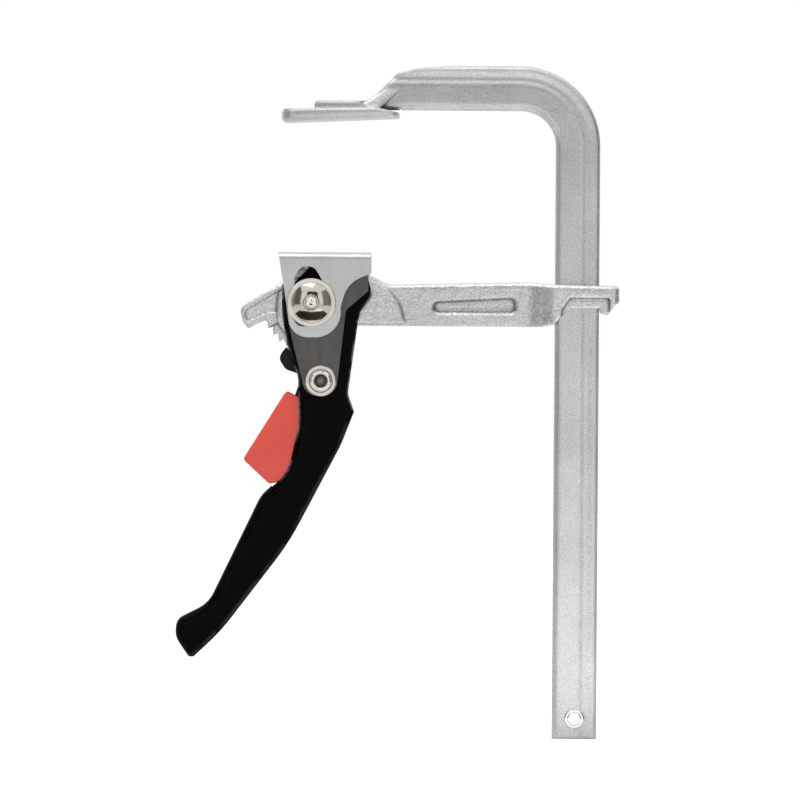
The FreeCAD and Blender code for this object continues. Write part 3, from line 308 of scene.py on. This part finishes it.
LOOKS = {
    "bar": zinc("zinc_bar", (0.85, 0.86, 0.87), 1500, (0.32, 0.44), bump=0.45, mottle=0.14,
                speckle=(0.38, 0.70), soft=0.0026, corner_shade=(0.0026, 0.38)),
    "arm": zinc("zinc_arm", (0.97, 0.98, 0.99), 1250, (0.24, 0.38), bump=0.70, mottle=0.70,
                speckle=(0.38, 0.62), soft=0.0020, corner_shade=(0.0022, 0.22)),
    "sheet": zinc("zinc_sheet", (0.80, 0.805, 0.81), 1700, (0.36, 0.48), bump=0.18, mottle=0.08,
                  speckle=(0.34, 0.84)),
    "nickel": polished("bright_nickel"),
    "ring": polished("ring_nickel", (0.62, 0.59, 0.53), (0.72, 0.69, 0.63)),
    "cap": polished("cap_nickel", (0.58, 0.54, 0.48), (0.66, 0.62, 0.56)),
    # Painted shade: the rivet's bore is painted almost black inside its hollow.
    "tube": polished("tube_nickel", corner_shade=(0.0060, 0.03)),
    # Painted shade: the cam is painted black where it shows through the plate's slot.
    "grey": dark_steel("dark_grey_steel", (0.128, 0.124, 0.118), (0.156, 0.151, 0.143), SLOT_SHADE_SPOT),
    "pawl": dark_steel("hardened_steel", (0.016, 0.019, 0.018), (0.030, 0.034, 0.032)),
    "black": black_enamel("black_enamel"),
    "red": red_plastic("red_plastic"),
    "wire": zinc("spring_wire", (0.50, 0.50, 0.51), 2500, (0.25, 0.35), bump=0.08),
}

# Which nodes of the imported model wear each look.
WEARERS = {
    "bar": ["fixed_bar"],
    "arm": ["sliding_arm"],
    "sheet": ["pressure_plate"],
    "nickel": ["stop_pin", "main_pin"],
    "ring": ["main_washer_front", "main_washer_rear", "rivet_washer_front", "rivet_washer_rear"],
    "cap": ["main_cap_front", "main_cap_rear"],
    "tube": ["pawl_rivet"],
    "grey": ["cam_plate_front", "cam_plate_rear"],
    "pawl": ["pawl", "pawl_spacer_front", "pawl_spacer_rear", "trigger_pin"],
    "black": ["lever"],
    "red": ["release_trigger"],
    "wire": ["pawl_spring"],
}


def dress():
    for look, names in WEARERS.items():
        for name in names:
            data = nodes[name].data
            data.materials.clear()
            data.materials.append(LOOKS[look])


# Ways to make a piece

# Flat steps round a turned piece, in a round corner, in a round rim and up a dome.
LATHE_STEPS = 96
CORNER_STEPS = 5
RIM_STEPS = 4
DOME_STEPS = 14


def placed(name, mesh):
    """A piece of this mesh in the scene, smooth but for its sharp edges."""
    mesh.polygons.foreach_set("use_smooth", [True] * len(mesh.polygons))
    mesh.set_sharp_from_angle(angle=math.radians(SHARP_DEG))
    piece = bpy.data.objects.new(name, mesh)
    bpy.context.scene.collection.objects.link(piece)
    return piece


def lathe(name, centre, depth, points):
    """A piece turned about Y. Its points are a radius and a height along depth, from its base."""
    around = LATHE_STEPS
    rows = []
    for radius, height in points:
        for i in range(around):
            angle = 2 * math.pi * i / around
            rows.append((centre.x + radius * math.cos(angle), centre.y + depth * height,
                         centre.z + radius * math.sin(angle)))
    faces = []
    for row in range(len(points)):
        low = row * around
        high = (row + 1) % len(points) * around
        for i in range(around):
            j = (i + 1) % around
            face = (low + i, high + i, high + j, low + j)
            faces.append(face if depth > 0 else face[::-1])
    mesh = bpy.data.meshes.new(name)
    mesh.from_pydata(rows, [], faces)
    return placed(name, mesh)


def middle(node):
    low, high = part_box(node)
    return (low + high) / 2


def rounded(corners):
    """The outline's points, with an arc at each corner."""
    steps = CORNER_STEPS
    points = []
    for i, (x, z, radius) in enumerate(corners):
        corner = Vector((x, z))
        before = (Vector(corners[i - 1][:2]) - corner).normalized()
        after = (Vector(corners[(i + 1) % len(corners)][:2]) - corner).normalized()
        half = before.angle(after) / 2
        start = corner + before * radius / math.tan(half)
        stop = corner + after * radius / math.tan(half)
        centre = corner + (before + after).normalized() * radius / math.sin(half)
        for step in range(steps + 1):
            spoke = start.lerp(stop, step / steps) - centre
            points.append(centre + spoke.normalized() * radius)
    return points


def extruded(name, outline, low_y, high_y, edge_radius):
    """An outline in x and z, drawn out along Y, with round rims."""
    work = bmesh.new()
    face = work.faces.new([work.verts.new((x, low_y, z)) for x, z in outline])
    grown = bmesh.ops.extrude_face_region(work, geom=[face])["geom"]
    moved = [item for item in grown if isinstance(item, bmesh.types.BMVert)]
    bmesh.ops.translate(work, verts=moved, vec=(0, high_y - low_y, 0))
    bmesh.ops.recalc_face_normals(work, faces=work.faces)
    rims = [edge for edge in work.edges if edge.verts[0].co.y == edge.verts[1].co.y]
    bmesh.ops.bevel(work, geom=rims, offset=edge_radius, segments=RIM_STEPS, profile=0.5, affect="EDGES")
    mesh = bpy.data.meshes.new(name)
    work.to_mesh(mesh)
    work.free()
    return placed(name, mesh)


# Caps

def cap_profile(radius, height, hole):
    """A rim, a dome that is part of a ball, and a raised boss round the rivet's hole."""
    rim = 0.22 * height
    shoulder = 0.94 * radius
    boss = 0.386 * radius
    crown = 0.86 * height
    points = [(hole, 0.0), (0.99 * radius, 0.0), (radius, 0.01 * radius), (radius, 0.8 * rim)]
    points += [(0.99 * radius, rim), (shoulder, rim)]
    # The ball's radius follows from the dome's drop between its boss and its shoulder.
    drop = crown - rim
    ball = ((shoulder ** 2 - boss ** 2 + drop ** 2) / (2 * drop)) ** 2 + boss ** 2
    middle = crown - math.sqrt(ball - boss ** 2)
    for i in range(DOME_STEPS + 1):
        spot = shoulder + (boss - shoulder) * i / DOME_STEPS
        points.append((spot, middle + math.sqrt(ball - spot ** 2)))
    points += [(0.98 * boss, 0.84 * height), (0.96 * boss, 0.95 * height)]
    points += [(0.88 * boss, height), (1.08 * hole, height), (hole, 0.97 * height)]
    return points


def make_caps():
    hole_share = 0.27
    for side, depth in (("front", -1), ("rear", 1)):
        node = f"main_cap_{side}"
        low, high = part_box(node)
        radius = (high.x - low.x) / 2
        base_y = high.y if depth < 0 else low.y
        centre = Vector(((low.x + high.x) / 2, base_y, (low.z + high.z) / 2))
        points = cap_profile(radius, high.y - low.y, hole_share * radius)
        cap = lathe(f"domed_cap_{side}", centre, depth, points)
        cap.data.materials.append(LOOKS["cap"])
        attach(cap, "lever")
        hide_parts(node)


# Trigger

# Its corners from the rivet, of the rivet's drop from the pivot: x, z and the corner's radius. The
# side towards the lever goes on between the lever's flanges, so no gap shows beside it.
TRIGGER_CORNERS = [
    (-0.430, -0.130, 0.03),
    (-0.470, -0.170, 0.03),
    (-0.992, -1.010, 0.05),
    (-0.655, -1.322, 0.06),
    (-0.480, -1.290, 0.06),
    (-0.270, -0.860, 0.20),
    (-0.219, -0.420, 0.10),
    (-0.262, -0.220, 0.04),
]
TRIGGER_EDGE_RADIUS = 0.0009


def make_trigger():
    rivet = middle("pawl_rivet")
    drop = middle("main_pin").z - rivet.z
    low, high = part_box("release_trigger")
    outline = [(rivet.x + drop * x, rivet.z + drop * z) for x, z in rounded(TRIGGER_CORNERS)]
    trigger = extruded("moulded_trigger", outline, low.y, high.y, TRIGGER_EDGE_RADIUS)
    trigger.data.materials.append(LOOKS["red"])
    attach(trigger, "pawl")
    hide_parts("release_trigger")


# Crest of the arm

# The arm's hump rises between the plate's ears and closes their slots from behind. The corners are
# in metres from the pivot: x, z and the corner's radius.
CREST_CORNERS = [
    (-0.0095, 0.0060, 0.0005),
    (-0.0088, 0.0122, 0.0015),
    (-0.0062, 0.0149, 0.0015),
    (0.0030, 0.0149, 0.0020),
    (0.0090, 0.0115, 0.0020),
    (0.0090, 0.0060, 0.0005),
]
CREST_THICKNESS = 0.0078
CREST_EDGE_RADIUS = 0.0006


def make_crest():
    pivot = middle("main_pin")
    outline = [(pivot.x + x, pivot.z + z) for x, z in rounded(CREST_CORNERS)]
    half = CREST_THICKNESS / 2
    crest = extruded("hump_crest", outline, pivot.y - half, pivot.y + half, CREST_EDGE_RADIUS)
    crest.data.materials.append(LOOKS["arm"])
    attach(crest, "arm")


# Studio

FLOOR_SIZE = 12
# The floor lies this far below the clamp's lowest point.
FLOOR_DROP = 0.0002
FLOOR_GREYS = (0.86, 0.90)
# What the camera sees of the floor is lifted by this much, so that it is white beside its shadow.
FLOOR_LIFT = 0.45
# The world's strength for light, and as the camera and reflections see it.
WORLD_LEVELS = (0.85, 1.0)
# Each card's name, middle, aim, width and height, and colour. The metal mirrors them.
CARDS = [
    ("front_card", (0.03, -0.8, 0.245), (0.03, 0, 0.245), (0.52, 0.45), (0.05, 0.05, 0.05)),
    ("left_card", (-1.5, -1.1, 0.35), (0, 0, -0.05), (1.3, 2.4), (0.14, 0.14, 0.14)),
    ("right_card", (1.1, -0.9, 0.2), (0, 0, -0.05), (0.8, 1.4), (0.25, 0.25, 0.25)),
    ("left_flag", (-0.9, -0.15, -0.1), (0.03, 0, -0.12), (0.9, 1.4), (0.30, 0.30, 0.30)),
    ("right_flag", (1.0, -0.15, -0.1), (0.03, 0, -0.12), (0.9, 1.4), (0.05, 0.05, 0.05)),
    ("top_card", (0.0, -0.9, 1.0), (0, 0, -0.08), (1.6, 1.0), (0.95, 0.93, 0.90)),
    ("dome_card", (-0.012, -0.10, -0.150), (-0.012, -0.10, 1.0), (0.22, 0.09), (0.03, 0.022, 0.018)),
    ("foot_table", (0.12, -0.27, -0.262), (0.12, -0.27, 1.0), (0.32, 0.46), (1.5, 1.5, 1.5)),
]


def emission(name, colour):
    """A plain glowing surface for a card that reflections see."""
    material = bpy.data.materials.new(name)
    material.use_nodes = True
    tree = material.node_tree
    tree.nodes.clear()
    output = tree.nodes.new("ShaderNodeOutputMaterial")
    glow = tree.nodes.new("ShaderNodeEmission")
    glow.inputs["Color"].default_value = (*colour, 1.0)
    tree.links.new(glow.outputs[0], output.inputs["Surface"])
    return material


def add_floor():
    """A wide pale floor. Seen straight on it is white, and it keeps the shadow under the clamp."""
    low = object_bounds()[0].z
    bpy.ops.mesh.primitive_plane_add(size=FLOOR_SIZE, location=(0, 0, low - FLOOR_DROP))
    floor = bpy.context.object
    floor.name = "floor"
    material = bpy.data.materials.new("floor_paper")
    material.use_nodes = True
    tree = material.node_tree
    paper = tree.nodes["Principled BSDF"]
    paper.inputs["Roughness"].default_value = 0.9
    paper.inputs["Specular IOR Level"].default_value = 0.0
    noise = tree.nodes.new("ShaderNodeTexNoise")
    noise.inputs["Scale"].default_value = 40
    ramp = tree.nodes.new("ShaderNodeValToRGB")
    for element, grey in zip(ramp.color_ramp.elements, FLOOR_GREYS):
        element.color = (grey, grey, grey, 1)
    tree.links.new(noise.outputs["Fac"], ramp.inputs["Fac"])
    tree.links.new(ramp.outputs["Color"], paper.inputs["Base Color"])
    path = tree.nodes.new("ShaderNodeLightPath")
    lift = tree.nodes.new("ShaderNodeMath")
    lift.operation = "MULTIPLY"
    lift.inputs[1].default_value = FLOOR_LIFT
    tree.links.new(path.outputs["Is Camera Ray"], lift.inputs[0])
    paper.inputs["Emission Color"].default_value = (1, 1, 1, 1)
    tree.links.new(lift.outputs[0], paper.inputs["Emission Strength"])
    floor.data.materials.append(material)
    # Where the arm slides down, the lever reaches below the rail's foot, so the floor sinks with it.
    follow = floor.constraints.new("COPY_LOCATION")
    follow.target = frame["bodies"]["arm"]
    follow.use_x = follow.use_y = False
    follow.use_offset = True
    ceiling = floor.constraints.new("LIMIT_LOCATION")
    ceiling.use_max_z = True
    ceiling.max_z = floor.location.z


def set_world():
    """White for the camera and for reflections, and a plain soft light for the rest."""
    world = bpy.data.worlds.new("studio")
    bpy.context.scene.world = world
    world.use_nodes = True
    tree = world.node_tree
    ground = tree.nodes["Background"]
    path = tree.nodes.new("ShaderNodeLightPath")
    seen = tree.nodes.new("ShaderNodeMath")
    seen.operation = "MAXIMUM"
    tree.links.new(path.outputs["Is Camera Ray"], seen.inputs[0])
    tree.links.new(path.outputs["Is Glossy Ray"], seen.inputs[1])
    through = tree.nodes.new("ShaderNodeMath")
    through.operation = "MAXIMUM"
    tree.links.new(seen.outputs[0], through.inputs[0])
    tree.links.new(path.outputs["Is Transmission Ray"], through.inputs[1])
    level = tree.nodes.new("ShaderNodeMapRange")
    level.inputs["To Min"].default_value, level.inputs["To Max"].default_value = WORLD_LEVELS
    tree.links.new(through.outputs[0], level.inputs["Value"])
    tree.links.new(level.outputs["Result"], ground.inputs["Strength"])
    ground.inputs["Color"].default_value = (1, 1, 1, 1)


def add_lamp(name, place, aim, size, watts):
    data = bpy.data.lights.new(name, "AREA")
    data.shape = "RECTANGLE"
    data.size, data.size_y = size
    data.energy = watts
    lamp = bpy.data.objects.new(name, data)
    bpy.context.scene.collection.objects.link(lamp)
    lamp.location = place
    lamp.rotation_euler = (Vector(aim) - Vector(place)).to_track_quat("-Z", "Y").to_euler()


def add_card(name, place, aim, size, colour):
    """A plain card that only reflections see. It throws no light on dull surfaces and no shadow."""
    bpy.ops.mesh.primitive_plane_add(size=1, location=place)
    card = bpy.context.object
    card.name = name
    card.scale = (size[0], size[1], 1)
    card.rotation_euler = (Vector(aim) - Vector(place)).to_track_quat("Z", "Y").to_euler()
    card.visible_camera = False
    card.visible_diffuse = False
    card.visible_shadow = False
    card.data.materials.append(emission(name, colour))


def set_camera():
    data = bpy.data.cameras.new("camera")
    camera = bpy.data.objects.new("camera", data)
    bpy.context.scene.collection.objects.link(camera)
    half = PHOTO_PX / 2
    x = (half - ORIGIN_PX[0] + CAMERA_SHIFT_PX[0]) * METRES_PER_PX
    z = (ORIGIN_PX[1] - half + CAMERA_SHIFT_PX[1]) * METRES_PER_PX
    camera.location = (x, -CAMERA_DISTANCE, z)
    level = Matrix.Rotation(math.radians(90), 4, "X")
    roll = Matrix.Rotation(math.radians(CAMERA_ROLL_DEG), 4, "Z")
    camera.rotation_euler = (level @ roll).to_euler()
    data.sensor_width = SENSOR_WIDTH
    data.lens = SENSOR_WIDTH * CAMERA_DISTANCE / (PHOTO_PX * METRES_PER_PX)
    data.clip_start, data.clip_end = CAMERA_CLIP
    bpy.context.scene.camera = camera


dress()
make_caps()
make_trigger()
make_crest()
add_floor()
set_world()
add_lamp("key", (-0.25, -0.45, 1.0), (0, 0, -0.08), (0.9, 0.5), 3.0)
for card in CARDS:
    add_card(*card)
set_camera()
bpy.context.scene.view_settings.view_transform = "Standard"
